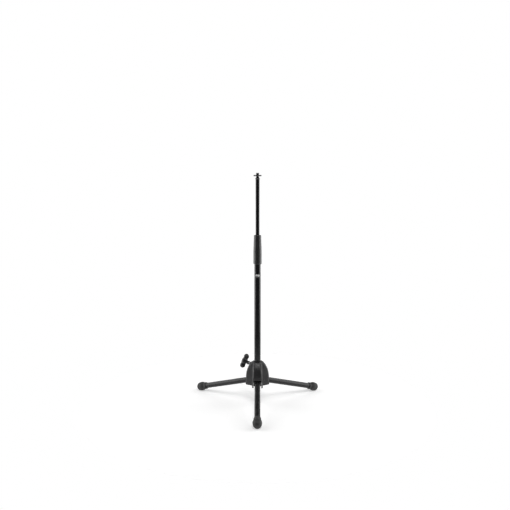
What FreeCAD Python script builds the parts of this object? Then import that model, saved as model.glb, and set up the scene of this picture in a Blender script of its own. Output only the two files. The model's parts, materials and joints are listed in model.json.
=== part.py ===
import FreeCAD, Part
import math
import os
import Sketcher

# Short tripod microphone stand: a three-lobed cast hub on three folding legs, a mast clamped in the hub by a
# wing screw, and an upper rod held by a twist clutch. Millimetres and degrees, +Z up. The origin is on the floor,
# on the axis of the mast. One leg points along -Y.

SIZES = {
    # legs
    "foot_reach": 215.0,          # mast axis to the reference point of a foot
    "leg_slope": 16.3,            # fall of the leg below the horizontal
    "leg_diameter": 18.0,
    "leg_wall": 1.3,
    "foot_diameter": 27.0,
    "foot_cuff_wall": 2.2,        # rubber round the tube at the cuff
    "foot_shoulder_wall": 2.5,    # rubber round the tube at the bulb's inner edge
    "foot_shoulder_length": 14.5,  # bulb from its inner edge to its widest place
    "foot_groove_width": 1.4,
    "foot_groove_depth": 1.3,
    "foot_bulb_offset": 5.0,      # bulb's widest place beyond the foot's reference point
    "foot_cuff_start": 19.0,      # cuff's inner end before the reference point
    "foot_flat_depth": 0.4,       # what the floor flat takes off the bulb
    "foot_socket_end": 4.0,       # tube's end beyond the reference point
    # leg pivots
    "pivot_reach": 18.0,
    "pin_diameter": 5.0,
    "pin_grip": 3.0,              # pin in each of the hub's cheeks
    "running_clearance": 0.08,    # radial gap of every running fit
    "knuckle_width": 23.6,
    "knuckle_height": 15.0,
    "knuckle_length": 15.0,       # block beyond the pivot
    "knuckle_spigot": 34.0,
    "heel_length": 8.0,           # heel before the pivot
    "heel_width": 17.0,
    # hub
    "hub_height": 77.0,
    "hub_pivot_height": 16.6,     # pivots above the hub's lower edge
    "hub_reach": 36.6,            # lobe face at the lower edge
    "hub_shoulder_reach": 36.2,   # lobe face where the dome begins
    "hub_shoulder_height": 28.0,
    "hub_rim_width": 6.5,         # flat rim around the mast
    "cheek_wall": 4.7,            # lobe beside its slot at the lower edge
    "lobe_width_top": 25.0,
    "lobe_ridge_fillet": 6.5,
    "lobe_foot_fillet": 1.6,      # lobe's lower edge
    "ridge_least_reach": 12.0,    # ridges are filleted beyond this distance from the mast axis
    "core_wall": 4.5,             # core round the cavity at the lower edge
    "cavity_clearance": 1.5,      # round the mast plug
    "cavity_height": 46.0,
    "knuckle_side_gap": 0.5,
    "slot_mouth_height": 24.2,
    "slot_inner_height": 31.0,
    "slot_inner_reach": 27.0,
    # clamping screw
    "clamp_height": 58.0,         # where its axis meets the mast axis, above the hub's lower edge
    "clamp_tilt": 16.5,
    "clamp_azimuth": 150.0,
    "clamp_diameter": 8.0,
    "clamp_boss_diameter": 15.0,
    "clamp_boss_reach": 27.5,
    "clamp_screw_depth": 3.4,     # screw in the knob beyond the knob's centre
    "pad_diameter": 7.4,
    "pad_length": 4.0,            # pad beyond the mast's wall
    "pad_gap": 0.3,
    "knob_reach": 50.0,           # wing knob's centre, along the screw
    "knob_turn": 21.0,            # wing's turn about the screw
    "knob_length": 47.0,
    "knob_lobe_diameter": 17.0,
    "knob_core_diameter": 19.0,
    "knob_waist_diameter": 15.4,
    "knob_neck_diameter": 9.6,
    "knob_neck_length": 7.2,      # neck and collar, from the core to the collar's face
    "knob_collar_diameter": 12.5,
    "knob_collar_length": 2.6,
    # mast
    "mast_diameter": 20.0,
    "mast_wall": 1.5,
    "mast_length": 404.5,
    "heel_gap": 0.4,
    "plug_overhang": 4.0,         # flange beyond the mast's wall
    "plug_flange": 4.0,
    "plug_spigot": 12.0,
    "label_bottom": 316.5,        # above the mast's lower end
    "label_height": 13.4,
    "label_arc": 74.0,
    "label_thickness": 0.2,
    # clutch
    "grip_length": 90.5,
    "grip_overlap": 44.6,         # grip below the mast's upper end
    "grip_wall": 2.6,
    "grip_top_wall": 1.5,         # over the thread's diameter
    "grip_straight": 42.0,
    "grip_edge_radius": 2.4,
    "thread_step": 0.2,           # thread below the mast's surface
    "clutch_head": 26.0,
    "clutch_spigot": 20.0,
    "collet_length": 13.0,
    "collet_taper": 1.3,
    "collet_slit": 2.0,
    "free_gap": 0.3,              # gap between parts of different bodies that do not guide each other
    # upper rod
    "rod_diameter": 12.0,
    "rod_wall": 1.25,
    "rod_length": 415.5,
    "rod_extension": 171.5,       # rod above the grip
    "guide_length": 15.0,
    "guide_start": 0.4,
    "guide_chamfer": 0.8,
    "rod_plug_overhang": 1.3,
    "rod_plug_flange": 2.5,
    "ring_thickness": 1.2,
    "ring_opening": 40.0,
    "tip_collar_overhang": 1.0,
    "tip_collar_start": 1.0,      # collar above the rod's upper end
    "tip_collar_end": 2.8,
    "tip_spigot": 20.0,
    "tip_height": 6.4,
    "stud_diameter": 9.525,
    "stud_top": 20.4,             # above the rod's upper end
    "stud_root": 12.0,            # below the rod's upper end
    "stud_root_diameter": 6.4,
    "stud_chamfer": 0.8,
    "stud_relief_depth": 0.6,
    "stud_relief_length": 1.5,    # relief below the lock nut's upper face
    "nut_diameter": 25.0,
    "nut_thickness": 4.0,
    "nut_bottom": 10.1,           # above the rod's upper end
    "edge_radius": 0.6,           # broken edges of moulded and cast parts
    "overcut": 2.0,               # how far a cut runs past the face it opens
}

LEG_AZIMUTHS = {"front": -90.0, "right": 30.0, "left": 150.0}
SIDEWAYS = 200.0                  # longer than any cut has to be
TOUCH = 0.01                      # places nearer than this are the same

doc = FreeCAD.newDocument("microphone_stand")
sheet = doc.addObject("Spreadsheet::Sheet", "size")
for row, (alias, value) in enumerate(SIZES.items(), start=1):
    sheet.set(f"A{row}", alias)
    sheet.set(f"B{row}", str(value))
    sheet.setAlias(f"B{row}", alias)
doc.recompute()

# Places worked out from the sheet, as expressions
FOOT_HEIGHT = ("(size.foot_diameter / 2 - size.foot_flat_depth"
               " + size.foot_bulb_offset * sin(size.leg_slope))")
PIVOT_HEIGHT = f"({FOOT_HEIGHT} + (size.foot_reach - size.pivot_reach) * tan(size.leg_slope))"
LEG_LENGTH = "((size.foot_reach - size.pivot_reach) / cos(size.leg_slope))"
HUB_HEIGHT = f"({PIVOT_HEIGHT} - size.hub_pivot_height)"
HEEL_TOP = ("(size.heel_length * sin(size.leg_slope)"
            " + size.knuckle_height / 2 * cos(size.leg_slope))")
PLUG_HEIGHT = f"({PIVOT_HEIGHT} + {HEEL_TOP} + size.heel_gap)"
MAST_HEIGHT = f"({PLUG_HEIGHT} + size.plug_flange + size.free_gap)"
MAST_TOP = f"({MAST_HEIGHT} + size.mast_length)"
GRIP_HEIGHT = f"({MAST_TOP} - size.grip_overlap)"
COLLET_HEIGHT = f"({MAST_TOP} + size.clutch_head + size.free_gap)"
ROD_TOP = f"({GRIP_HEIGHT} + size.grip_length + size.rod_extension)"
ROD_HEIGHT = f"({ROD_TOP} - size.rod_length)"
LEG_BORE = "(size.leg_diameter / 2 - size.leg_wall)"
MAST_BORE = "(size.mast_diameter / 2 - size.mast_wall)"
ROD_BORE = "(size.rod_diameter / 2 - size.rod_wall)"
SLOT_WIDTH = "(size.knuckle_width + 2 * size.knuckle_side_gap)"
LOBE_WIDTH = f"({SLOT_WIDTH} + 2 * size.cheek_wall)"
HUB_RIM = "(size.mast_diameter / 2 + size.hub_rim_width)"
PLUG_RADIUS = "(size.mast_diameter / 2 + size.plug_overhang)"
CAVITY_RADIUS = f"({PLUG_RADIUS} + size.cavity_clearance)"
PAD_END = "(size.mast_diameter / 2 + size.pad_length)"
THREAD_RADIUS = "(size.mast_diameter / 2 - size.thread_step)"
COLLET_TOP = f"({THREAD_RADIUS} - size.collet_taper)"
ROD_PLUG_RADIUS = "(size.rod_diameter / 2 + size.rod_plug_overhang)"


def value(expression):
    """What an expression over the sheet's sizes comes to."""
    return FreeCAD.Units.Quantity(sheet.evalExpression(str(expression))).Value


def new_body(label, height=None):
    """An empty body, standing on the mast axis at a height given as an expression."""
    body = doc.addObject("PartDesign::Body", label)
    body.Label = label
    if height is not None:
        body.setExpression("Placement.Base.z", height)
    return body


def new_sketch(body, plane, name):
    """A sketch on one of the body's own origin planes."""
    sketch = body.newObject("Sketcher::SketchObject", name)
    origin_plane = next(item for item in body.Origin.OriginFeatures if item.Role == plane)
    sketch.AttachmentSupport = [(origin_plane, "")]
    sketch.MapMode = "FlatFace"
    return sketch


def pin_point(sketch, geometry, end, x, y):
    """Tie a sketch point to the sheet by its two distances from the origin."""
    for kind, axis, expression in (("DistanceX", -2, x), ("DistanceY", -1, y)):
        distance = value(expression)
        if abs(distance) < TOUCH:
            sketch.addConstraint(Sketcher.Constraint("PointOnObject", geometry, end, axis))
            continue
        index = sketch.addConstraint(Sketcher.Constraint(kind, -1, 1, geometry, end, distance))
        sketch.setExpression(f"Constraints[{index}]", str(expression))


def draw_outline(sketch, corners):
    """Draw a closed outline through corners (x, y), which are expressions. A corner (x, y, radius, side) is
    reached by an arc whose centre lies to the left (+1) or the right (-1) of the way."""
    points = [FreeCAD.Vector(value(corner[0]), value(corner[1]), 0) for corner in corners]
    ends = []
    for number, corner in enumerate(corners):
        start, stop = points[number - 1], points[number]
        if len(corner) == 2:
            geometry = sketch.addGeometry(Part.LineSegment(start, stop), False)
            ends.append((geometry, 1, 2))
            continue
        radius, side = value(corner[2]), corner[3]
        way = stop - start
        left = FreeCAD.Vector(-way.y, way.x, 0).normalize()
        rise = math.sqrt(radius ** 2 - (way.Length / 2) ** 2)
        centre = (start + stop) * 0.5 + left * (side * rise)
        first, last = (start, stop) if side > 0 else (stop, start)
        angles = [math.atan2(point.y - centre.y, point.x - centre.x) for point in (first, last)]
        circle = Part.Circle(centre, FreeCAD.Vector(0, 0, 1), radius)
        geometry = sketch.addGeometry(Part.ArcOfCircle(circle, angles[0], angles[1]), False)
        ends.append((geometry, 1, 2) if side > 0 else (geometry, 2, 1))
        index = sketch.addConstraint(Sketcher.Constraint("Radius", geometry, radius))
        sketch.setExpression(f"Constraints[{index}]", str(corner[2]))
    for number, (geometry, _, end) in enumerate(ends):
        following, start_end, _ = ends[(number + 1) % len(ends)]
        sketch.addConstraint(Sketcher.Constraint("Coincident", geometry, end, following, start_end))
        pin_point(sketch, geometry, end, corners[number][0], corners[number][1])


def draw_circle(sketch, x, y, radius):
    """Draw a circle whose centre and radius are expressions."""
    centre = FreeCAD.Vector(value(x), value(y), 0)
    circle = Part.Circle(centre, FreeCAD.Vector(0, 0, 1), value(radius))
    geometry = sketch.addGeometry(circle, False)
    pin_point(sketch, geometry, 3, x, y)
    index = sketch.addConstraint(Sketcher.Constraint("Radius", geometry, value(radius)))
    sketch.setExpression(f"Constraints[{index}]", str(radius))


def revolve(body, name, corners, angle=360, groove=False):
    """Turn an outline of (radius, height) corners about the body's Z axis."""
    sketch = new_sketch(body, "XZ_Plane", f"{name}_outline")
    draw_outline(sketch, corners)
    kind = "PartDesign::Groove" if groove else "PartDesign::Revolution"
    feature = body.newObject(kind, name)
    feature.Profile = sketch
    feature.ReferenceAxis = (sketch, ["V_Axis"])
    if angle == 360:
        feature.Angle = angle
    else:
        feature.Midplane = True
        feature.setExpression("Angle", angle)
    doc.recompute()
    return feature


def extrude(body, name, plane, draw, length, pocket=False):
    """Pad or pocket a sketch to both sides of its plane, by the whole length given."""
    sketch = new_sketch(body, plane, f"{name}_sketch")
    draw(sketch)
    feature = body.newObject("PartDesign::Pocket" if pocket else "PartDesign::Pad", name)
    feature.Profile = sketch
    feature.SideType = "Symmetric"
    feature.setExpression("Length", str(length))
    doc.recompute()
    return feature


def round_edges(body, name, radius, wanted, kind="PartDesign::Fillet"):
    """Fillet the edges of the body's last feature that the test picks."""
    base = body.Tip
    names = [f"Edge{number}" for number, edge in enumerate(base.Shape.Edges, start=1) if wanted(edge)]
    feature = body.newObject(kind, name)
    feature.Base = (base, names)
    feature.setExpression("Size" if kind.endswith("Chamfer") else "Radius", str(radius))
    doc.recompute()
    return feature


def middle(edge):
    """The point halfway along an edge."""
    return edge.valueAt((edge.FirstParameter + edge.LastParameter) / 2)


def polar(body, name, features, count, whole=False):
    """Repeat features, or the whole body, about the Z axis."""
    axis = next(item for item in body.Origin.OriginFeatures if item.Role == "Z_Axis")
    pattern = body.newObject("PartDesign::PolarPattern", name)
    if whole:
        pattern.TransformMode = "Whole shape"
    else:
        pattern.Originals = features
    pattern.Axis = (axis, [""])
    pattern.Angle = 360
    pattern.Occurrences = count
    body.Tip = pattern
    doc.recompute()
    return pattern


# Frames of the parts that do not stand on the mast axis
def leg_placement(azimuth):
    """Frame of a leg: origin on its pivot, Z out along the tube, Y along the pivot pin."""
    turn = FreeCAD.Rotation(FreeCAD.Vector(0, 0, 1), azimuth)
    tilt = FreeCAD.Rotation(FreeCAD.Vector(0, 1, 0), 90 + value("size.leg_slope"))
    flip = FreeCAD.Rotation(FreeCAD.Vector(0, 0, 1), 180)
    place = turn.multVec(FreeCAD.Vector(value("size.pivot_reach"), 0, value(PIVOT_HEIGHT)))
    return FreeCAD.Placement(place, turn * tilt * flip)


def clamp_placement():
    """Frame of the clamping screw: origin on the mast axis, Z out along the screw, X along the wing."""
    turn = FreeCAD.Rotation(FreeCAD.Vector(0, 0, 1), value("size.clamp_azimuth"))
    tilt = FreeCAD.Rotation(FreeCAD.Vector(0, 1, 0), 90 - value("size.clamp_tilt"))
    clock = FreeCAD.Rotation(FreeCAD.Vector(0, 0, 1), value("size.knob_turn"))
    place = FreeCAD.Vector(0, 0, value(f"{HUB_HEIGHT} + size.clamp_height"))
    return FreeCAD.Placement(place, turn * tilt * clock)


# Hub
def lobe(body):
    """One lobe of the hub, pointing along +X: a dome profile whose flanks draw in towards the top."""
    dome = f"(size.hub_shoulder_reach - {HUB_RIM})"
    rise = "(size.hub_height - size.hub_shoulder_height)"
    dome_radius = f"(({dome} ^ 2 + {rise} ^ 2) / (2 * {dome}))"
    side = [("0", "0"), ("size.hub_reach", "0"), ("size.hub_shoulder_reach", "size.hub_shoulder_height"),
            (HUB_RIM, "size.hub_height", dome_radius, 1), ("0", "size.hub_height")]
    extrude(body, "lobe_side", "XZ_Plane", lambda sketch: draw_outline(sketch, side), LOBE_WIDTH)

    past_top = "size.hub_height + size.overcut"

    def flank_wedges(sketch):
        for sign in ("", "-"):
            draw_outline(sketch, [(f"{sign}{LOBE_WIDTH} / 2", "0"),
                                  (f"{sign}({LOBE_WIDTH} / 2 + size.overcut)", past_top),
                                  (f"{sign}(size.lobe_width_top / 2)", past_top)])

    extrude(body, "lobe_flanks", "YZ_Plane", flank_wedges, SIDEWAYS, pocket=True)

    def on_ridge(edge):
        point = middle(edge)
        between = TOUCH < point.z < value("size.hub_height") - TOUCH
        return between and point.x > value("size.ridge_least_reach") and abs(point.y) > TOUCH

    def at_foot(edge):
        point = middle(edge)
        return abs(point.z) < TOUCH < point.x

    round_edges(body, "lobe_ridges", "size.lobe_ridge_fillet", on_ridge)
    round_edges(body, "lobe_foot", "size.lobe_foot_fillet", at_foot)


def hub_casting():
    """The cast hub: three lobes round a conical core, hollow inside, slotted below for the legs."""
    body = new_body("hub_casting", HUB_HEIGHT)
    turn = FreeCAD.Rotation(FreeCAD.Vector(0, 0, 1), LEG_AZIMUTHS["front"])
    hub_frame = FreeCAD.Placement(FreeCAD.Vector(0, 0, value(HUB_HEIGHT)), turn)
    lobe(body)
    polar(body, "three_lobes", [], len(LEG_AZIMUTHS), whole=True)
    top = "size.hub_height"
    revolve(body, "core", [("0", "0"), (f"{CAVITY_RADIUS} + size.core_wall", "0"), (HUB_RIM, top), ("0", top)])
    placement = hub_frame.inverse() * clamp_placement()
    boss = body.newObject("PartDesign::AdditiveCylinder", "clamp_boss")
    boss.setExpression("Radius", "size.clamp_boss_diameter / 2")
    boss.setExpression("Height", "size.clamp_boss_reach")
    boss.Placement = placement
    doc.recompute()
    bore = "size.mast_diameter / 2 + size.running_clearance"
    roof = "size.cavity_height"
    above = "size.hub_height + size.overcut"
    below = "-size.overcut"
    beyond = "size.hub_reach + size.overcut"
    revolve(body, "cavity", [("0", below), (CAVITY_RADIUS, below), (CAVITY_RADIUS, roof), (bore, roof),
                             (bore, above), ("0", above)], groove=True)
    slot = [("0", below), (beyond, below), (beyond, "size.slot_mouth_height"),
            ("size.slot_inner_reach", "size.slot_mouth_height"),
            ("size.slot_inner_reach", "size.slot_inner_height"), ("0", "size.slot_inner_height")]
    leg_slot = extrude(body, "leg_slot", "XZ_Plane", lambda sketch: draw_outline(sketch, slot),
                       SLOT_WIDTH, pocket=True)
    polar(body, "leg_slots", [leg_slot], len(LEG_AZIMUTHS))
    pin_hole = extrude(body, "pin_hole", "XZ_Plane",
                       lambda sketch: draw_circle(sketch, "size.pivot_reach", "size.hub_pivot_height",
                                                  "size.pin_diameter / 2"),
                       f"{LOBE_WIDTH} + size.overcut", pocket=True)
    polar(body, "pin_holes", [pin_hole], len(LEG_AZIMUTHS))
    thread = body.newObject("PartDesign::SubtractiveCylinder", "clamp_hole")
    thread.setExpression("Radius", "size.clamp_diameter / 2 + size.running_clearance")
    thread.setExpression("Height", "size.knob_reach")
    thread.Placement = placement
    doc.recompute()
    body.Placement.Rotation = turn
    return body


# Legs
def leg_tube(name, azimuth):
    """Straight steel tube of a leg."""
    body = new_body(f"leg_tube_{name}")
    start = "size.knuckle_length"
    stop = f"{LEG_LENGTH} + size.foot_socket_end"
    revolve(body, "tube", [(LEG_BORE, start), ("size.leg_diameter / 2", start),
                           ("size.leg_diameter / 2", stop), (LEG_BORE, stop)])
    body.Placement = leg_placement(azimuth)
    return body


def leg_knuckle(name, azimuth):
    """Moulded inner end of a leg: a block round the pivot pin, a heel that the mast bears on, a spigot."""
    body = new_body(f"leg_knuckle_{name}")
    half = "size.knuckle_height / 2"
    far = "size.knuckle_length"
    heel = [(f"-{half}", "-size.heel_length"), (half, "-size.heel_length"), (half, far), (f"-{half}", far)]
    block = [(f"-{half}", f"-{half} / 2"), (half, f"-{half} / 2"), (half, far), (f"-{half}", far)]
    extrude(body, "heel", "XZ_Plane", lambda sketch: draw_outline(sketch, heel), "size.heel_width")
    extrude(body, "block", "XZ_Plane", lambda sketch: draw_outline(sketch, block), "size.knuckle_width")
    round_edges(body, "block_end", "size.edge_radius", lambda edge: abs(middle(edge).z - value(far)) < TOUCH)
    revolve(body, "spigot", [("0", "size.edge_radius"), (LEG_BORE, "size.edge_radius"),
                             (LEG_BORE, "size.knuckle_spigot"), ("0", "size.knuckle_spigot")])
    extrude(body, "pin_bore", "XZ_Plane",
            lambda sketch: draw_circle(sketch, "0", "0", "size.pin_diameter / 2 + size.running_clearance"),
            "size.knuckle_width + size.overcut", pocket=True)
    body.Placement = leg_placement(azimuth)
    return body


def leg_foot(name, azimuth):
    """Rubber foot: a cuff, a groove and a round bulb with a small flat where it stands."""
    body = new_body(f"leg_foot_{name}")
    bulb = "size.foot_diameter / 2"
    cuff = "size.leg_diameter / 2 + size.foot_cuff_wall"
    shoulder = "size.leg_diameter / 2 + size.foot_shoulder_wall"
    start = f"({LEG_LENGTH} - size.foot_cuff_start)"
    socket = f"({LEG_LENGTH} + size.foot_socket_end)"
    centre = f"({LEG_LENGTH} + size.foot_bulb_offset)"
    inner_edge = f"({centre} - size.foot_shoulder_length)"
    neck = f"{cuff} - size.foot_groove_depth"
    edge = "size.edge_radius"
    swell = f"({bulb} - {shoulder})"
    swell_radius = f"((size.foot_shoulder_length ^ 2 + {swell} ^ 2) / (2 * {swell}))"
    outline = [("0", socket), ("size.leg_diameter / 2", socket), ("size.leg_diameter / 2", start),
               (f"{cuff} - {edge}", start), (cuff, f"{start} + {edge}", edge, 1),
               (cuff, f"{inner_edge} - size.foot_groove_width"), (neck, f"{inner_edge} - size.foot_groove_width"),
               (neck, inner_edge), (shoulder, inner_edge), (bulb, centre, swell_radius, 1),
               ("0", f"{centre} + {bulb}", bulb, 1)]
    revolve(body, "cap", outline)
    floor = body.newObject("PartDesign::SubtractiveBox", "floor_flat")
    for side in ("Length", "Width", "Height"):
        floor.setExpression(side, "2 * size.foot_diameter")
    floor_turn = FreeCAD.Rotation(FreeCAD.Vector(0, 1, 0), value("size.leg_slope") - 90)
    depth = value(f"{bulb} - size.foot_flat_depth")
    size = value("2 * size.foot_diameter")
    corner = floor_turn.multVec(FreeCAD.Vector(-size / 2, -size / 2, depth))
    floor.Placement = FreeCAD.Placement(FreeCAD.Vector(0, 0, value(centre)) + corner, floor_turn)
    doc.recompute()
    body.Placement = leg_placement(azimuth)
    return body


def leg_pin(name, azimuth):
    """Pivot pin of a leg, pressed into the hub's cheeks."""
    pin = doc.addObject("Part::Cylinder", f"leg_pin_{name}")
    pin.Label = f"leg_pin_{name}"
    pin.setExpression("Radius", "size.pin_diameter / 2")
    pin.setExpression("Height", f"{SLOT_WIDTH} + 2 * size.pin_grip")
    frame = leg_placement(azimuth)
    across = FreeCAD.Rotation(FreeCAD.Vector(1, 0, 0), -90)
    start = FreeCAD.Vector(0, -value(f"{SLOT_WIDTH} / 2 + size.pin_grip"), 0)
    pin.Placement = frame * FreeCAD.Placement(start, across)
    return pin


# Clamping screw
def clamp_pad():
    """Pressure pad between the screw and the mast, hollowed to the mast's curve."""
    blank = doc.addObject("Part::Cylinder", "clamp_pad_blank")
    blank.setExpression("Radius", "size.pad_diameter / 2")
    blank.setExpression("Height", PAD_END)
    blank.Placement = clamp_placement()
    mast = doc.addObject("Part::Cylinder", "clamp_pad_hollow")
    mast.setExpression("Radius", "size.mast_diameter / 2 + size.pad_gap")
    mast.setExpression("Height", "size.hub_height")
    mast.setExpression("Placement.Base.z", f"{HUB_HEIGHT} + size.hub_height / 4")
    pad = doc.addObject("Part::Cut", "clamp_pad")
    pad.Label = "clamp_pad"
    pad.Base = blank
    pad.Tool = mast
    return pad


def clamp_screw():
    """Steel screw that the wing knob turns."""
    body = new_body("clamp_screw")
    radius = "size.clamp_diameter / 2"
    edge = "size.edge_radius"
    stop = "size.knob_reach + size.clamp_screw_depth"
    revolve(body, "shank", [("0", PAD_END), (f"{radius} - {edge}", PAD_END), (radius, f"{PAD_END} + {edge}"),
                            (radius, stop), ("0", stop)])
    body.Placement = clamp_placement()
    return body


def clamp_knob():
    """Wing knob: a bar with round lobes and a thick middle, on a neck with a collar."""
    body = new_body("clamp_knob")
    lobe_radius = "(size.knob_lobe_diameter / 2)"
    core = "(size.knob_core_diameter / 2)"
    waist = "(size.knob_waist_diameter / 2)"
    end = "(size.knob_length / 2)"
    waist_place = f"({end} - size.knob_lobe_diameter)"
    lobe_centre = f"({end} - {lobe_radius})"
    bulge = f"({core} - {waist})"
    bulge_radius = f"(({waist_place} ^ 2 + {bulge} ^ 2) / (2 * {bulge}))"
    revolve(body, "wing", [("0", f"-{end}"), (lobe_radius, f"-{lobe_centre}", lobe_radius, 1),
                           (waist, f"-{waist_place}"), (waist, waist_place, bulge_radius, 1),
                           (lobe_radius, lobe_centre), ("0", end, lobe_radius, 1)])
    inward = FreeCAD.Rotation(FreeCAD.Vector(0, 1, 0), 90)
    reach = f"({core} + size.knob_neck_length)"
    collar_start = f"({reach} - size.knob_collar_length)"
    for part, diameter, start, length in (("neck", "size.knob_neck_diameter", "0", reach),
                                          ("collar", "size.knob_collar_diameter", collar_start,
                                           "size.knob_collar_length")):
        ring = body.newObject("PartDesign::AdditiveCylinder", part)
        ring.setExpression("Radius", f"{diameter} / 2")
        ring.setExpression("Height", length)
        ring.Placement = FreeCAD.Placement(FreeCAD.Vector(value(start), 0, 0), inward)
        doc.recompute()
    bore = body.newObject("PartDesign::SubtractiveCylinder", "screw_bore")
    bore.setExpression("Radius", "size.clamp_diameter / 2")
    bore.setExpression("Height", "size.knob_core_diameter + size.knob_neck_length")
    bore_end = inward.multVec(FreeCAD.Vector(0, 0, -value("size.clamp_screw_depth")))
    bore.Placement = FreeCAD.Placement(bore_end, inward)
    doc.recompute()
    outward = FreeCAD.Rotation(FreeCAD.Vector(0, 1, 0), 90)
    along = FreeCAD.Placement(FreeCAD.Vector(0, 0, value("size.knob_reach")), outward)
    body.Placement = clamp_placement() * along
    return body


# Mast
def mast_plug():
    """Plug in the mast's lower end: its flange bears on the legs' heels and cannot pass the hub's bore."""
    body = new_body("mast_end_plug", PLUG_HEIGHT)
    spigot = f"{MAST_BORE} - size.running_clearance"
    flange = "size.plug_flange"
    edge = "size.edge_radius"
    wide = PLUG_RADIUS
    revolve(body, "plug", [("0", "0"), (f"{wide} - {edge}", "0"), (wide, edge), (wide, f"{flange} - {edge}"),
                           (f"{wide} - {edge}", flange), (spigot, flange),
                           (spigot, f"{flange} + size.plug_spigot"), ("0", f"{flange} + size.plug_spigot")])
    return body


def mast_tube():
    """Lower tube of the stand."""
    body = new_body("mast_tube", MAST_HEIGHT)
    outer = "size.mast_diameter / 2"
    top = "size.mast_length"
    revolve(body, "tube", [(MAST_BORE, "0"), (outer, "0"), (outer, top), (MAST_BORE, top)])
    return body


def mast_label():
    """Blank label on the front of the mast."""
    body = new_body("mast_label", f"{MAST_HEIGHT} + size.label_bottom")
    inner = "size.mast_diameter / 2"
    outer = "size.mast_diameter / 2 + size.label_thickness"
    top = "size.label_height"
    revolve(body, "sheet", [(inner, "0"), (outer, "0"), (outer, top), (inner, top)], angle="size.label_arc")
    body.Placement.Rotation = FreeCAD.Rotation(FreeCAD.Vector(0, 0, 1), LEG_AZIMUTHS["front"])
    return body


# Clutch
def clutch_body():
    """Threaded sleeve pressed into the mast's upper end."""
    body = new_body("clutch_body", MAST_TOP)
    bore = "size.rod_diameter / 2 + size.free_gap"
    top = "size.clutch_head"
    edge = "size.edge_radius"
    revolve(body, "sleeve", [(bore, "-size.clutch_spigot"), (MAST_BORE, "-size.clutch_spigot"), (MAST_BORE, "0"),
                             (THREAD_RADIUS, "0"), (THREAD_RADIUS, f"{top} - {edge}"),
                             (f"{THREAD_RADIUS} - {edge}", top), (bore, top)])
    return body


def clutch_collet():
    """Split ring that the grip squeezes on to the rod."""
    body = new_body("clutch_collet", COLLET_HEIGHT)
    bore = "size.rod_diameter / 2 + size.running_clearance"
    low = f"{THREAD_RADIUS} - size.free_gap"
    top = "size.collet_length"
    revolve(body, "ring", [(bore, "0"), (low, "0"), (COLLET_TOP, top), (bore, top)])

    def slit(sketch):
        half = "size.collet_slit / 2"
        near = "size.rod_diameter / 4"
        far = "size.mast_diameter"
        draw_outline(sketch, [(near, f"-{half}"), (far, f"-{half}"), (far, half), (near, half)])

    extrude(body, "slit", "XY_Plane", slit, SIDEWAYS, pocket=True)
    return body


def clutch_grip():
    """Hand grip that turns on the threaded sleeve and closes the collet."""
    body = new_body("clutch_grip", GRIP_HEIGHT)
    low = "size.mast_diameter / 2 + size.free_gap + size.grip_wall"
    high = f"{THREAD_RADIUS} + size.grip_top_wall"
    top = "size.grip_length"
    clear = "size.mast_diameter / 2 + size.free_gap"
    thread = f"{THREAD_RADIUS} + size.running_clearance"
    cone_start = "(size.grip_overlap + size.clutch_head)"
    cone_end = f"({cone_start} + size.collet_length + 2 * size.free_gap)"
    cone_top = f"{COLLET_TOP} + size.free_gap"
    lip = "size.rod_diameter / 2 + size.free_gap"
    edge = "size.grip_edge_radius"
    step = "size.grip_overlap + size.free_gap"
    outline = [(clear, "0"), (f"{low} - {edge}", "0"), (low, edge, edge, 1), (low, "size.grip_straight"),
               (high, f"{top} - {edge}"), (f"{high} - {edge}", top, edge, 1), (lip, top), (lip, cone_end),
               (cone_top, cone_end), (thread, cone_start), (thread, step), (clear, step)]
    revolve(body, "sleeve", outline)
    return body


# Upper rod
def rod_tube():
    """Upper tube, which slides in the mast."""
    body = new_body("rod_tube", ROD_HEIGHT)
    outer = "size.rod_diameter / 2"
    top = "size.rod_length"
    revolve(body, "tube", [(ROD_BORE, "0"), (outer, "0"), (outer, top), (ROD_BORE, top)])
    return body


def rod_guide():
    """Bush on the rod's lower end, which guides it in the mast."""
    body = new_body("rod_guide", f"{ROD_HEIGHT} + size.guide_start")
    outer = f"{MAST_BORE} - size.running_clearance"
    inner = "size.rod_diameter / 2 + size.running_clearance"
    top = "size.guide_length"
    chamfer = "size.guide_chamfer"
    revolve(body, "bush", [(inner, "0"), (f"{outer} - {chamfer}", "0"), (outer, chamfer),
                           (outer, f"{top} - {chamfer}"), (f"{outer} - {chamfer}", top), (inner, top)])
    return body


def rod_end_plug():
    """Plug in the rod's lower end, whose flange carries the guide bush."""
    body = new_body("rod_end_plug", ROD_HEIGHT)
    bottom = "-size.rod_plug_flange"
    top = "size.guide_length"
    revolve(body, "plug", [("0", bottom), (ROD_PLUG_RADIUS, bottom), (ROD_PLUG_RADIUS, "0"), (ROD_BORE, "0"),
                           (ROD_BORE, top), ("0", top)])
    return body


def rod_ring():
    """Open spring ring that keeps the guide bush from sliding up the rod."""
    body = new_body("rod_retaining_ring", f"{ROD_HEIGHT} + 2 * size.guide_start + size.guide_length")
    inner = "size.rod_diameter / 2"
    top = "size.ring_thickness"
    revolve(body, "ring", [(inner, "0"), (ROD_PLUG_RADIUS, "0"), (ROD_PLUG_RADIUS, top), (inner, top)],
            angle="360 - size.ring_opening")
    return body


def rod_tip():
    """Turned fitting in the rod's upper end, which holds the stud."""
    body = new_body("rod_tip", ROD_TOP)
    outer = "size.rod_diameter / 2"
    collar = f"{outer} + size.tip_collar_overhang"
    top = "size.tip_height"
    hole = "size.stud_root_diameter / 2"
    revolve(body, "fitting", [("0", "-size.tip_spigot"), (ROD_BORE, "-size.tip_spigot"), (ROD_BORE, "0"),
                              (outer, "0"), (collar, "size.tip_collar_start"), (collar, "size.tip_collar_end"),
                              ("size.stud_diameter / 2 + size.edge_radius", top), (hole, top),
                              (hole, "-size.stud_root"), ("0", "-size.stud_root")])
    return body


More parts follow.
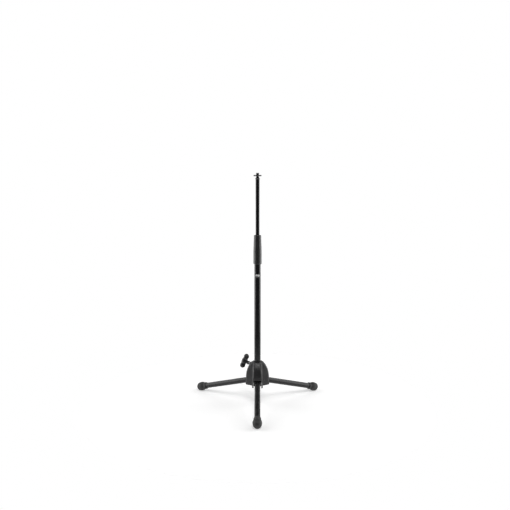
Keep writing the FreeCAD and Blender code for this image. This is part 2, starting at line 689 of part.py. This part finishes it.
def thread_stud():
    """Mounting stud. A relief inside the lock nut parts its free end from its root."""
    body = new_body("thread_stud", ROD_TOP)
    stud = "size.stud_diameter / 2"
    top = "size.stud_top"
    chamfer = "size.stud_chamfer"
    root = "size.stud_root_diameter / 2"
    nut_top = "size.nut_bottom + size.nut_thickness"
    relief = f"{nut_top} - size.stud_relief_length"
    waist = f"{stud} - size.stud_relief_depth"
    revolve(body, "stud", [("0", "-size.stud_root"), (root, "-size.stud_root"), (root, "size.tip_height"),
                           (stud, "size.tip_height"), (stud, relief), (waist, relief), (waist, nut_top),
                           (stud, nut_top), (stud, f"{top} - {chamfer}"), (f"{stud} - {chamfer}", top),
                           ("0", top)])
    return body


def lock_nut():
    """Round nut that locks what is screwed on the stud."""
    body = new_body("lock_nut", f"{ROD_TOP} + size.nut_bottom")
    bore = "size.stud_diameter / 2 + size.running_clearance"
    rim = "size.nut_diameter / 2"
    thick = "size.nut_thickness"
    edge = "size.edge_radius"
    revolve(body, "disc", [(bore, "0"), (f"{rim} - {edge}", "0"), (rim, edge), (rim, f"{thick} - {edge}"),
                           (f"{rim} - {edge}", thick), (bore, thick)])
    return body


subparts = [hub_casting()]
for leg_name, leg_azimuth in LEG_AZIMUTHS.items():
    for make_part in (leg_tube, leg_knuckle, leg_foot, leg_pin):
        subparts.append(make_part(leg_name, leg_azimuth))
for make_part in (clamp_pad, clamp_screw, clamp_knob, mast_plug, mast_tube, mast_label, clutch_body,
                  clutch_collet, clutch_grip, rod_tube, rod_guide, rod_end_plug, rod_ring, rod_tip,
                  thread_stud, lock_nut):
    subparts.append(make_part())
doc.recompute()

for item in doc.Objects:
    if "Invalid" in item.State or "Error" in item.State:
        raise RuntimeError(f"{item.Name} failed: {item.State}")
for subpart in subparts:
    if subpart.Shape.isNull() or not subpart.Shape.isValid() or not subpart.Shape.Solids:
        raise RuntimeError(f"{subpart.Label} is not a valid solid")

os.makedirs("parts", exist_ok=True)
for subpart in subparts:
    subpart.Shape.exportStep(f"parts/{subpart.Label}.step")
    print(f"{subpart.Label}: {len(subpart.Shape.Solids)} solid, {subpart.Shape.Volume:.1f} mm3")
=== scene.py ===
import json
import math

import bmesh
import bpy
from mathutils import Matrix, Vector


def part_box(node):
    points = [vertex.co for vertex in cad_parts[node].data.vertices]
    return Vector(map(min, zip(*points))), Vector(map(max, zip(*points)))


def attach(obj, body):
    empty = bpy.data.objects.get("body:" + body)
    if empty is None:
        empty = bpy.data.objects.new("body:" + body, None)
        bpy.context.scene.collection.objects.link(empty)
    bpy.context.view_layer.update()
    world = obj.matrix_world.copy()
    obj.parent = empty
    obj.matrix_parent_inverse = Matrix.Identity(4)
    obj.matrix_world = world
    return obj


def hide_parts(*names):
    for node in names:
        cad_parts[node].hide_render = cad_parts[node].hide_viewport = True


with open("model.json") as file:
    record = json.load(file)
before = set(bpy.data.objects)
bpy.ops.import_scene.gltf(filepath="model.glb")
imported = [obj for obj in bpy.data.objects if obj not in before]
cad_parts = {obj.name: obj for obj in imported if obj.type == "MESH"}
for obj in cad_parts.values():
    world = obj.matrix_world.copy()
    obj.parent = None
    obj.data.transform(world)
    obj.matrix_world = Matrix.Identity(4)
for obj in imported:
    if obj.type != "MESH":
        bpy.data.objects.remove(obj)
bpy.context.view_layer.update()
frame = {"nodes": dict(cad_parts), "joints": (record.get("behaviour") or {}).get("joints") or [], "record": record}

# Looks of a short tripod microphone stand, in metres, in the frame of the CAD model: +Z up, -Y towards the
# front leg, the mast on the Z axis. CAD nodes keep their shape and get a finish. The wing knob, the clamping
# screw, the stud and the lock nut are modelled again in finer detail.

MM = 0.001
JOINTS = {joint["name"]: joint for joint in frame["joints"]}
CLAMP_AXIS = Vector(JOINTS["clamp_turn"]["axis"]).normalized()
CLAMP_ORIGIN = Vector(JOINTS["clamp_turn"]["pos_m"])

WELD_DISTANCE = 1e-6
ROUND_STEPS = 48              # corners round a turned or threaded piece
CAD_SMOOTH_ANGLE = 30         # degrees; sharper edges of a CAD node stay sharp
NOISE_ROUGHNESS = 0.55

# Wing knob: two round lobes, a waist beside each, and a thick middle
KNOB_ROWS = 96
LOBE_RADIUS = 8.5 * MM
WAIST_RADIUS = 7.6 * MM
WAIST_PLACE = 0.62            # share of the way from the knob's middle to a lobe's centre
WAIST_SPREAD = 0.2            # in the same share
MIDDLE_FALL = 1.6             # power at which the middle thins towards the waist
COLLAR_NECK = 4.8 * MM
COLLAR_NECK_HEIGHT = 3.0 * MM
COLLAR_ROUNDING = 0.6 * MM
COLLAR_EDGE = 5.6 * MM        # radius to the centre of the roundings
COLLAR_TOP_EDGE = 2.2 * MM    # height of the upper rounding's centre
COLLAR_BORE = 4.05 * MM
COLLAR_BORE_DEPTH = 1.0 * MM
COLLAR_CORE = 0.1 * MM        # hair-thin hole that a turned piece keeps on its axis

# Clamping screw, M8
SCREW_PITCH = 1.25 * MM
SCREW_DEPTH = 0.7 * MM
SCREW_CHAMFER = 0.8 * MM

# Stud, 3/8 inch with 16 threads to the inch
STUD_CREST = 9.525 / 2 * MM
STUD_PITCH = 1.5875 * MM
STUD_DEPTH = 0.85 * MM
STUD_CHAMFER = 1.0 * MM
STUD_SINK = 0.2 * MM          # the thread starts this far inside the rod tip
SHANK_RADIUS = 3.1 * MM
SHANK_CHAMFER = 0.3 * MM
SHANK_CORE = 0.05 * MM
SHANK_STEPS = 32
ROWS_PER_TURN = 8             # rows of corners in one turn of a thread

# Lock nut
NUT_BORE = 4.9 * MM
NUT_CHAMFER = 0.5 * MM
NUT_EDGE_DROP = 0.3 * MM      # depth of the middle of the rim's chamfer below the nut's face
NUT_STEP = 0.15 * MM          # depth of the outer part of each face below its middle
NUT_STEP_OUTSIDE = 2.2 * MM   # the step's foot and its top, in from the rim
NUT_STEP_INSIDE = 2.4 * MM
KNURL_RIDGES = 64
KNURL_STEPS = 6               # corners round one ridge
KNURL_DEPTH = 0.35 * MM
KNURL_WIDTH = 1.1 * NUT_CHAMFER

# Label print: the places across in metres, the places up as shares of the label's height
PRINT_LEFT = -5.9 * MM
PRINT_RIGHT = 6.0 * MM
BLOCK_LOW, BLOCK_HIGH = 0.42, 0.84
LINE_LOW, LINE_HIGH = 0.14, 0.22

# Studio
FLOOR_RADIUS = 0.55
FLOOR_STEPS = 96
FLOOR_GLOW = 0.36
FRONT_LIGHT = 0.01            # strengths of the surround in front of the stand and behind it
BACK_LIGHT = 0.6
HIGH_SHARE = 0.15             # what is left of them high up
SENSOR_WIDTH = 36.0
LENS = 45.65
CAMERA_PLACE = (0.004, -2.0, 0.733)
CAMERA_TILT = 7.365           # degrees down
CAMERA_PAN = 0.34             # degrees to the left


def axis_frame(origin, z_axis, x_hint):
    """Matrix whose Z is z_axis and whose X lies towards x_hint."""
    z = Vector(z_axis).normalized()
    x = Vector(x_hint)
    x = (x - z * x.dot(z)).normalized()
    y = z.cross(x)
    matrix = Matrix((x, y, z)).transposed().to_4x4()
    matrix.translation = Vector(origin)
    return matrix


# Mesh helpers
def new_piece(mesh, body, slot, nodes=(), smooth_angle=35):
    """Make a finished piece: smooth by angle, riding on its body, standing for its CAD nodes."""
    piece = bpy.data.objects.new(mesh.name, mesh)
    bpy.context.scene.collection.objects.link(piece)
    mesh.materials.clear()
    mesh.materials.append(MATERIALS[slot])
    for polygon in mesh.polygons:
        polygon.use_smooth = True
    mesh.set_sharp_from_angle(angle=math.radians(smooth_angle))
    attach(piece, body)
    if nodes:
        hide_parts(*nodes)


def mesh_from(bm, name, matrix):
    """The mesh of a bmesh, moved into the CAD frame."""
    bmesh.ops.remove_doubles(bm, verts=bm.verts, dist=WELD_DISTANCE)
    bmesh.ops.recalc_face_normals(bm, faces=bm.faces)
    mesh = bpy.data.meshes.new(name)
    bm.to_mesh(mesh)
    bm.free()
    mesh.transform(matrix)
    mesh.update()
    return mesh


def lathe(bm, profile, steps, wobble=None):
    """Turn a closed (radius, height) profile about Z. wobble(radius, height, angle) may change the radius."""
    rings = []
    for radius, height in profile:
        ring = []
        for step in range(steps):
            angle = 2 * math.pi * step / steps
            reach = radius if wobble is None else wobble(radius, height, angle)
            ring.append(bm.verts.new((reach * math.cos(angle), reach * math.sin(angle), height)))
        rings.append(ring)
    for number, ring in enumerate(rings):
        following = rings[(number + 1) % len(rings)]
        for step in range(steps):
            after = (step + 1) % steps
            bm.faces.new((ring[step], ring[after], following[after], following[step]))


def arc(centre, radius, start, stop, count):
    """Points (radius, height) of an arc, angles in degrees."""
    points = []
    for step in range(count + 1):
        angle = math.radians(start + (stop - start) * step / count)
        points.append((centre[0] + radius * math.cos(angle), centre[1] + radius * math.sin(angle)))
    return points


def thread_radius(height, angle, pitch, depth, crest, start, stop):
    """Radius of a screw thread at a height and angle, with its ends run out."""
    phase = (height / pitch - angle / (2 * math.pi)) % 1.0
    groove = depth * (0.5 + 0.5 * math.cos(2 * math.pi * phase))
    run_out = min(1.0, max(0.0, (height - start) / pitch), max(0.0, (stop - height) / pitch))
    return crest - groove * run_out


def threaded_rod(name, matrix, crest, pitch, depth, start, stop, chamfer):
    """A solid threaded rod along Z, chamfered at both ends."""
    bm = bmesh.new()
    rows = int((stop - start) / pitch * ROWS_PER_TURN)
    rings = []
    for row in range(rows + 1):
        height = start + (stop - start) * row / rows
        end = min(height - start, stop - height)
        limit = crest - max(0.0, chamfer - end)
        ring = []
        for step in range(ROUND_STEPS):
            angle = 2 * math.pi * step / ROUND_STEPS
            reach = min(limit, thread_radius(height, angle, pitch, depth, crest, start, stop))
            ring.append(bm.verts.new((reach * math.cos(angle), reach * math.sin(angle), height)))
        rings.append(ring)
    for low, high in zip(rings, rings[1:]):
        for step in range(ROUND_STEPS):
            after = (step + 1) % ROUND_STEPS
            bm.faces.new((low[step], low[after], high[after], high[step]))
    bm.faces.new(list(reversed(rings[0])))
    bm.faces.new(rings[-1])
    return mesh_from(bm, name, matrix)


# Material helpers
class Shader:
    """A Principled material under construction, with object-space coordinates."""

    def __init__(self, name, color, roughness, metallic=0.0, **sockets):
        self.material = bpy.data.materials.new(name)
        self.material.use_nodes = True
        self.nodes = self.material.node_tree.nodes
        self.links = self.material.node_tree.links
        self.bsdf = self.nodes["Principled BSDF"]
        self.bsdf.inputs["Base Color"].default_value = (*color, 1)
        self.bsdf.inputs["Roughness"].default_value = roughness
        self.bsdf.inputs["Metallic"].default_value = metallic
        for socket, value in sockets.items():
            self.bsdf.inputs[socket.replace("_", " ")].default_value = value
        self.place = self.nodes.new("ShaderNodeTexCoord").outputs["Object"]
        self.height = None

    def scaled(self, scale):
        """Object coordinates stretched by a scale of three numbers."""
        mapping = self.nodes.new("ShaderNodeMapping")
        mapping.inputs["Scale"].default_value = scale
        self.links.new(self.place, mapping.inputs["Vector"])
        return mapping.outputs["Vector"]

    def noise(self, scale, detail, place=None):
        node = self.nodes.new("ShaderNodeTexNoise")
        node.inputs["Scale"].default_value = scale
        node.inputs["Detail"].default_value = detail
        node.inputs["Roughness"].default_value = NOISE_ROUGHNESS
        self.links.new(place or self.place, node.inputs["Vector"])
        return node.outputs["Fac"]

    def cells(self, scale):
        node = self.nodes.new("ShaderNodeTexVoronoi")
        node.inputs["Scale"].default_value = scale
        self.links.new(self.place, node.inputs["Vector"])
        return node.outputs["Distance"]

    def spread(self, source, low, high, to_low=0.0, to_high=1.0):
        """Map a value from the range low..high to to_low..to_high, clamped."""
        node = self.nodes.new("ShaderNodeMapRange")
        node.inputs["From Min"].default_value = low
        node.inputs["From Max"].default_value = high
        node.inputs["To Min"].default_value = to_low
        node.inputs["To Max"].default_value = to_high
        self.links.new(source, node.inputs["Value"])
        return node.outputs["Result"]

    def math(self, operation, first, second):
        node = self.nodes.new("ShaderNodeMath")
        node.operation = operation
        for index, value in enumerate((first, second)):
            if isinstance(value, (int, float)):
                node.inputs[index].default_value = value
            else:
                self.links.new(value, node.inputs[index])
        return node.outputs["Value"]

    def mix(self, factor, dark, light):
        """Colour between two colours by a factor. Either colour may be a socket."""
        node = self.nodes.new("ShaderNodeMix")
        node.data_type = "RGBA"
        self.links.new(factor, node.inputs["Factor"])
        for socket, value in (("A", dark), ("B", light)):
            target = next(item for item in node.inputs if item.name == socket and item.type == "RGBA")
            if isinstance(value, tuple):
                target.default_value = (*value, 1)
            else:
                self.links.new(value, target)
        return next(item for item in node.outputs if item.type == "RGBA")

    def color(self, source):
        self.links.new(source, self.bsdf.inputs["Base Color"])

    def rough(self, source):
        self.links.new(source, self.bsdf.inputs["Roughness"])

    def clouds(self, noise, dark, light, low=0.35, high=0.65):
        """Colour that drifts from dark to light over the range low..high of a noise."""
        self.color(self.mix(self.spread(noise, low, high), dark, light))

    def sheen(self, noise, least, most, low=0.35, high=0.65):
        """Roughness that drifts from least to most over the range low..high of a noise."""
        self.rough(self.spread(noise, low, high, least, most))

    def bump(self, source, distance, strength=1.0):
        """Add a bump layer on top of the ones before it. distance is in metres."""
        node = self.nodes.new("ShaderNodeBump")
        node.inputs["Strength"].default_value = strength
        node.inputs["Distance"].default_value = distance
        self.links.new(source, node.inputs["Height"])
        if self.height is not None:
            self.links.new(self.height, node.inputs["Normal"])
        self.height = node.outputs["Normal"]
        self.links.new(self.height, self.bsdf.inputs["Normal"])


def cast_paint():
    """Fine-textured satin powder coat on the cast hub."""
    shade = Shader("cast_paint", (0.022, 0.022, 0.0225), 0.38, Specular_IOR_Level=0.42)
    shade.clouds(shade.noise(55, 4), dark=(0.017, 0.017, 0.0175), light=(0.026, 0.026, 0.0265))
    shade.sheen(shade.noise(180, 3), least=0.33, most=0.43)
    shade.bump(shade.noise(140, 2), distance=0.00012, strength=0.5)
    shade.bump(shade.noise(2600, 2), distance=0.00006, strength=0.6)
    return shade.material


def tube_paint():
    """Satin black powder coat on the mast and the legs."""
    shade = Shader("tube_paint", (0.012, 0.012, 0.0125), 0.24, Specular_IOR_Level=0.34)
    cloud = shade.noise(38, 4, place=shade.scaled((1, 1, 0.35)))
    shade.clouds(cloud, dark=(0.009, 0.009, 0.0095), light=(0.015, 0.015, 0.0155))
    shade.sheen(shade.noise(260, 3), least=0.2, most=0.28)
    shade.bump(shade.noise(900, 2), distance=0.000005, strength=0.5)
    return shade.material


def rod_paint():
    """Glossier black finish of the upper rod, rubbed lengthwise where it slides."""
    shade = Shader("rod_paint", (0.010, 0.010, 0.0105), 0.22, Specular_IOR_Level=0.2)
    streak = shade.noise(900, 3, place=shade.scaled((1, 1, 0.02)))
    shade.sheen(streak, least=0.18, most=0.32, high=0.7)
    shade.clouds(streak, dark=(0.008, 0.008, 0.0085), light=(0.014, 0.014, 0.0145), low=0.45, high=0.75)
    shade.bump(shade.noise(700, 2), distance=0.000002, strength=0.4)
    return shade.material


def grip_plastic():
    """Matt moulded plastic of the hand grip."""
    shade = Shader("grip_plastic", (0.02, 0.02, 0.0205), 0.42, Specular_IOR_Level=0.75)
    shade.clouds(shade.noise(70, 3), dark=(0.016, 0.016, 0.0165), light=(0.024, 0.024, 0.0245))
    shade.sheen(shade.noise(300, 3), least=0.36, most=0.46)
    shade.bump(shade.cells(1900), distance=0.00003, strength=0.5)
    return shade.material


def knob_plastic():
    """Semi-gloss moulded plastic of the wing knob."""
    shade = Shader("knob_plastic", (0.014, 0.014, 0.0145), 0.3, Specular_IOR_Level=0.5)
    shade.clouds(shade.noise(90, 3), dark=(0.011, 0.011, 0.0115), light=(0.018, 0.018, 0.019))
    shade.sheen(shade.noise(240, 3), least=0.24, most=0.38)
    shade.bump(shade.noise(1200, 2), distance=0.00004, strength=0.5)
    return shade.material


def nylon():
    """Matt black nylon of the knuckles, plugs and bushes."""
    shade = Shader("nylon", (0.02, 0.02, 0.021), 0.55, Specular_IOR_Level=0.4)
    shade.sheen(shade.noise(300, 3), least=0.5, most=0.64)
    shade.bump(shade.noise(1500, 2), distance=0.00005, strength=0.5)
    return shade.material


def foot_rubber():
    """Matt black rubber of the feet, in uneven dark grey."""
    shade = Shader("foot_rubber", (0.03, 0.03, 0.031), 0.62, Specular_IOR_Level=0.45)
    shade.clouds(shade.noise(80, 5), dark=(0.024, 0.024, 0.0245), light=(0.042, 0.042, 0.042), high=0.68)
    shade.sheen(shade.noise(200, 4), least=0.55, most=0.72)
    shade.bump(shade.noise(1400, 3), distance=0.00007, strength=0.6)
    return shade.material


def zinc_steel():
    """Bright zinc-plated steel of the clamping screw."""
    shade = Shader("zinc_steel", (0.62, 0.62, 0.63), 0.28, metallic=1.0)
    shade.clouds(shade.noise(500, 4), dark=(0.5, 0.5, 0.51), light=(0.7, 0.7, 0.7))
    shade.sheen(shade.noise(700, 4), least=0.2, most=0.4)
    shade.bump(shade.noise(2500, 2), distance=0.00002, strength=0.4)
    return shade.material


def dark_steel():
    """Black-oxide steel of the stud, the tip fitting and the pins."""
    shade = Shader("dark_steel", (0.08, 0.08, 0.082), 0.36, metallic=1.0)
    shade.clouds(shade.noise(420, 4), dark=(0.055, 0.055, 0.057), light=(0.11, 0.11, 0.112))
    shade.sheen(shade.noise(600, 4), least=0.28, most=0.46)
    return shade.material


def nut_steel():
    """Black-nickel finish of the lock nut."""
    shade = Shader("nut_steel", (0.13, 0.13, 0.133), 0.34, metallic=1.0)
    shade.clouds(shade.noise(380, 4), dark=(0.1, 0.1, 0.102), light=(0.18, 0.18, 0.183))
    shade.sheen(shade.noise(600, 4), least=0.22, most=0.4)
    return shade.material


def label_film():
    """Black label film that carries a plain white block and a fine grey line, with no words."""
    shade = Shader("label_film", (0.01, 0.01, 0.01), 0.4)
    low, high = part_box("mast_label")
    separate = shade.nodes.new("ShaderNodeSeparateXYZ")
    shade.links.new(shade.place, separate.inputs["Vector"])
    across, up = separate.outputs["X"], separate.outputs["Z"]

    def within(source, start, stop):
        above = shade.math("GREATER_THAN", source, start)
        below = shade.math("LESS_THAN", source, stop)
        return shade.math("MULTIPLY", above, below)

    def patch(start, stop):
        height = high.z - low.z
        band = within(up, low.z + start * height, low.z + stop * height)
        return shade.math("MULTIPLY", within(across, PRINT_LEFT, PRINT_RIGHT), band)

    block_color = shade.mix(patch(BLOCK_LOW, BLOCK_HIGH), (0.012, 0.012, 0.012), (0.86, 0.86, 0.85))
    shade.color(shade.mix(patch(LINE_LOW, LINE_HIGH), block_color, (0.16, 0.16, 0.16)))
    shade.sheen(shade.noise(300, 3), least=0.34, most=0.46)
    return shade.material


MATERIALS = {"cast_paint": cast_paint(), "tube_paint": tube_paint(), "rod_paint": rod_paint(),
             "grip_plastic": grip_plastic(), "knob_plastic": knob_plastic(), "nylon": nylon(),
             "foot_rubber": foot_rubber(), "zinc_steel": zinc_steel(), "dark_steel": dark_steel(),
             "nut_steel": nut_steel(), "label": label_film()}

for subpart in frame["record"]["subparts"]:
    node = frame["nodes"][subpart["node"]]
    node.data.materials.clear()
    node.data.materials.append(MATERIALS[subpart["material_slot"]])
    for polygon in node.data.polygons:
        polygon.use_smooth = True
    node.data.set_sharp_from_angle(angle=math.radians(CAD_SMOOTH_ANGLE))


# Wing knob
def knob_frame():
    """Frame of the knob, half its length, and its inner and outer faces along Z.

    The origin is at the knob's middle on the screw, Z runs out along the screw, X along the wing.
    """
    points = [v.co for v in frame["nodes"]["clamp_knob"].data.vertices]
    away = max(points, key=lambda co: (co - CLAMP_ORIGIN).cross(CLAMP_AXIS).length)
    base = axis_frame(CLAMP_ORIGIN, CLAMP_AXIS, away - CLAMP_ORIGIN)
    local = [base.inverted() @ co for co in points]
    half = max(co.x for co in local)
    centre = max(local, key=lambda co: abs(co.x)).z
    base.translation = CLAMP_ORIGIN + CLAMP_AXIS * centre
    inner = min(co.z for co in local) - centre
    outer = max(co.z for co in local) - centre
    return base, half, inner, outer


def wing_radius(away, lobe_place, core):
    """Radius of the wing at a distance from its middle."""
    if away > lobe_place:
        return math.sqrt(max(0.0, LOBE_RADIUS ** 2 - (away - lobe_place) ** 2))
    share = away / lobe_place
    neck = math.exp(-((share - WAIST_PLACE) / WAIST_SPREAD) ** 2)
    body = core + (LOBE_RADIUS - core) * min(1.0, share / WAIST_PLACE) ** MIDDLE_FALL
    return body - (body - WAIST_RADIUS) * neck


def wing(base, half, core):
    """Moulded wing: rings of corners along X, closer together towards the ends."""
    bm = bmesh.new()
    rings = []
    for row in range(KNOB_ROWS + 1):
        x = -half + 2 * half * (0.5 - 0.5 * math.cos(math.pi * row / KNOB_ROWS))
        radius = wing_radius(abs(x), half - LOBE_RADIUS, core)
        ring = []
        for step in range(ROUND_STEPS):
            angle = 2 * math.pi * step / ROUND_STEPS
            ring.append(bm.verts.new((x, radius * math.cos(angle), radius * math.sin(angle))))
        rings.append(ring)
    for first, second in zip(rings, rings[1:]):
        for step in range(ROUND_STEPS):
            after = (step + 1) % ROUND_STEPS
            bm.faces.new((first[step], second[step], second[after], first[after]))
    mesh = mesh_from(bm, "clamp_wing", base)
    new_piece(mesh, "clamp_screw", "knob_plastic", nodes=("clamp_knob",), smooth_angle=60)


def wing_collar(base, inner, core):
    """Round collar on the knob's inner side, with a rounded rim and a shallow bore for the screw."""
    back = -0.5 * core
    bore_end = inner + COLLAR_BORE_DEPTH
    profile = [(COLLAR_CORE, back), (COLLAR_NECK, back), (COLLAR_NECK, inner + COLLAR_NECK_HEIGHT)]
    profile += arc((COLLAR_EDGE, inner + COLLAR_TOP_EDGE), COLLAR_ROUNDING, 90, 0, count=4)
    profile += arc((COLLAR_EDGE, inner + COLLAR_ROUNDING), COLLAR_ROUNDING, 0, -90, count=4)
    profile += [(COLLAR_BORE, inner), (COLLAR_BORE, bore_end), (COLLAR_CORE, bore_end)]
    bm = bmesh.new()
    lathe(bm, profile, ROUND_STEPS)
    new_piece(mesh_from(bm, "clamp_wing_collar", base), "clamp_screw", "knob_plastic")


knob_base, knob_half, knob_inner, knob_outer = knob_frame()
wing(knob_base, knob_half, knob_outer)
wing_collar(knob_base, knob_inner, knob_outer)


# Screws and nut
def along(node, origin, axis):
    """Lowest and highest place of a node along an axis, and its greatest distance from the axis."""
    points = [v.co - origin for v in frame["nodes"][node].data.vertices]
    places = [point.dot(axis) for point in points]
    return min(places), max(places), max(point.cross(axis).length for point in points)


def clamp_screw():
    """Zinc-plated M8 screw between the knob and the hub."""
    start, stop, radius = along("clamp_screw", CLAMP_ORIGIN, CLAMP_AXIS)
    base = axis_frame(CLAMP_ORIGIN, CLAMP_AXIS, (0, 0, 1))
    mesh = threaded_rod("clamp_screw_thread", base, radius, SCREW_PITCH, SCREW_DEPTH,
                        start, stop, SCREW_CHAMFER)
    new_piece(mesh, "clamp_screw", "zinc_steel", nodes=("clamp_screw",), smooth_angle=50)


def stud():
    """Threaded stud, on its plain shank in the rod tip."""
    low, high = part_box("thread_stud")
    tip_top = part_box("rod_tip")[1].z
    mesh = threaded_rod("stud_thread", Matrix(), STUD_CREST, STUD_PITCH, STUD_DEPTH,
                        tip_top - STUD_SINK, high.z, STUD_CHAMFER)
    new_piece(mesh, "rod", "dark_steel", nodes=("thread_stud",), smooth_angle=50)
    bm = bmesh.new()
    profile = [(SHANK_CORE, low.z), (SHANK_RADIUS - SHANK_CHAMFER, low.z),
               (SHANK_RADIUS, low.z + SHANK_CHAMFER), (SHANK_RADIUS, tip_top), (SHANK_CORE, tip_top)]
    lathe(bm, profile, SHANK_STEPS)
    new_piece(mesh_from(bm, "stud_shank", Matrix()), "rod", "dark_steel")


def lock_nut():
    """Thin round lock nut with a straight-knurled rim and a step and a chamfer on each face."""
    low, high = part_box("lock_nut")
    outer = (high.x - low.x) / 2

    def knurl(radius, height, angle):
        if radius < outer - KNURL_WIDTH:
            return radius
        return radius - KNURL_DEPTH * (0.5 - 0.5 * math.cos(KNURL_RIDGES * angle))

    # One face from the bore to the rim: radius, and depth below the face
    face = [(NUT_BORE + NUT_CHAMFER, 0), (outer - NUT_STEP_INSIDE, 0),
            (outer - NUT_STEP_OUTSIDE, NUT_STEP), (outer - 2 * NUT_CHAMFER, NUT_STEP),
            (outer - NUT_CHAMFER, NUT_EDGE_DROP), (outer, 2 * NUT_CHAMFER)]
    profile = [(radius, low.z + depth) for radius, depth in face]
    profile += [(radius, high.z - depth) for radius, depth in reversed(face)]
    profile += [(NUT_BORE, high.z - NUT_CHAMFER), (NUT_BORE, low.z + NUT_CHAMFER)]
    bm = bmesh.new()
    lathe(bm, profile, KNURL_RIDGES * KNURL_STEPS, knurl)
    mesh = mesh_from(bm, "knurled_nut", Matrix())
    new_piece(mesh, "lock_nut", "nut_steel", nodes=("lock_nut",), smooth_angle=40)


clamp_screw()
stud()
lock_nut()


# Studio
def floor():
    """Plain white round floor under the stand. The surround is as white, so its edge doesn't show."""
    mesh = bpy.data.meshes.new("floor")
    turns = [2 * math.pi * step / FLOOR_STEPS for step in range(FLOOR_STEPS)]
    rim = [(FLOOR_RADIUS * math.cos(turn), FLOOR_RADIUS * math.sin(turn), 0) for turn in turns]
    mesh.from_pydata(rim, [], [tuple(range(FLOOR_STEPS))])
    sheet = bpy.data.objects.new("floor", mesh)
    bpy.context.scene.collection.objects.link(sheet)
    shade = Shader("floor_white", (0.84, 0.84, 0.84), 0.9, Specular_IOR_Level=0.1)
    shade.bsdf.inputs["Emission Color"].default_value = (1, 1, 1, 1)
    shade.bsdf.inputs["Emission Strength"].default_value = FLOOR_GLOW
    mesh.materials.append(shade.material)


def studio():
    """Surround that is white to the camera, and lights the stand from behind and the sides, not the front."""
    world = bpy.data.worlds.new("studio")
    bpy.context.scene.world = world
    world.use_nodes = True
    nodes, links = world.node_tree.nodes, world.node_tree.links

    def spread(source, low, high, to_low, to_high):
        node = nodes.new("ShaderNodeMapRange")
        node.interpolation_type = "SMOOTHSTEP"
        for socket, value in (("From Min", low), ("From Max", high), ("To Min", to_low), ("To Max", to_high)):
            node.inputs[socket].default_value = value
        links.new(source, node.inputs["Value"])
        return node.outputs["Result"]

    direction = nodes.new("ShaderNodeSeparateXYZ")
    links.new(nodes.new("ShaderNodeTexCoord").outputs["Generated"], direction.inputs["Vector"])
    behind = spread(direction.outputs["Y"], low=-0.75, high=0.1, to_low=FRONT_LIGHT, to_high=BACK_LIGHT)
    share = spread(direction.outputs["Z"], low=0.2, high=0.5, to_low=1.0, to_high=HIGH_SHARE)
    glow = nodes.new("ShaderNodeMath")
    glow.operation = "MULTIPLY"
    links.new(behind, glow.inputs[0])
    links.new(share, glow.inputs[1])
    seen = nodes.new("ShaderNodeMath")
    seen.operation = "MAXIMUM"
    links.new(glow.outputs["Value"], seen.inputs[0])
    links.new(nodes.new("ShaderNodeLightPath").outputs["Is Camera Ray"], seen.inputs[1])
    links.new(seen.outputs["Value"], nodes["Background"].inputs["Strength"])
    nodes["Background"].inputs["Color"].default_value = (1, 1, 1, 1)


def lamp(name, place, target, power, size):
    """A soft rectangular lamp aimed from its place at a target."""
    light = bpy.data.lights.new(name, "AREA")
    light.energy = power
    light.shape = "RECTANGLE"
    light.size, light.size_y = size
    holder = bpy.data.objects.new(name, light)
    bpy.context.scene.collection.objects.link(holder)
    holder.location = place
    holder.rotation_euler = (Vector(target) - Vector(place)).to_track_quat("-Z", "Y").to_euler()


def camera():
    """A camera two metres in front of the mast, level with the stand's top, tilted down."""
    data = bpy.data.cameras.new("camera")
    data.sensor_width = SENSOR_WIDTH
    data.lens = LENS
    view = bpy.data.objects.new("camera", data)
    bpy.context.scene.collection.objects.link(view)
    view.location = CAMERA_PLACE
    view.rotation_euler = (math.radians(90 - CAMERA_TILT), 0, math.radians(CAMERA_PAN))
    bpy.context.scene.camera = view


floor()
studio()
for side, word in ((-1, "left"), (1, "right")):
    lamp(f"{word}_wall", (side * 1.5, 0.05, 0.45), (0, 0.05, 0.45), power=11, size=(1.1, 1.1))
    lamp(f"{word}_box", (side * 1.3, 0.6, 1.4), (0, 0, 0.1), power=8, size=(0.9, 0.9))
    lamp(f"{word}_rim", (side * 0.65, 1.5, 0.35), (0, -0.1, 0.05), power=2.2, size=(0.5, 0.45))
lamp("front_fill", (0.2, -1.3, 2.2), (0, 0, 0.3), power=18, size=(0.8, 0.8))
camera()
bpy.context.scene.view_settings.view_transform = "Standard"

bpy.context.view_layer.update()
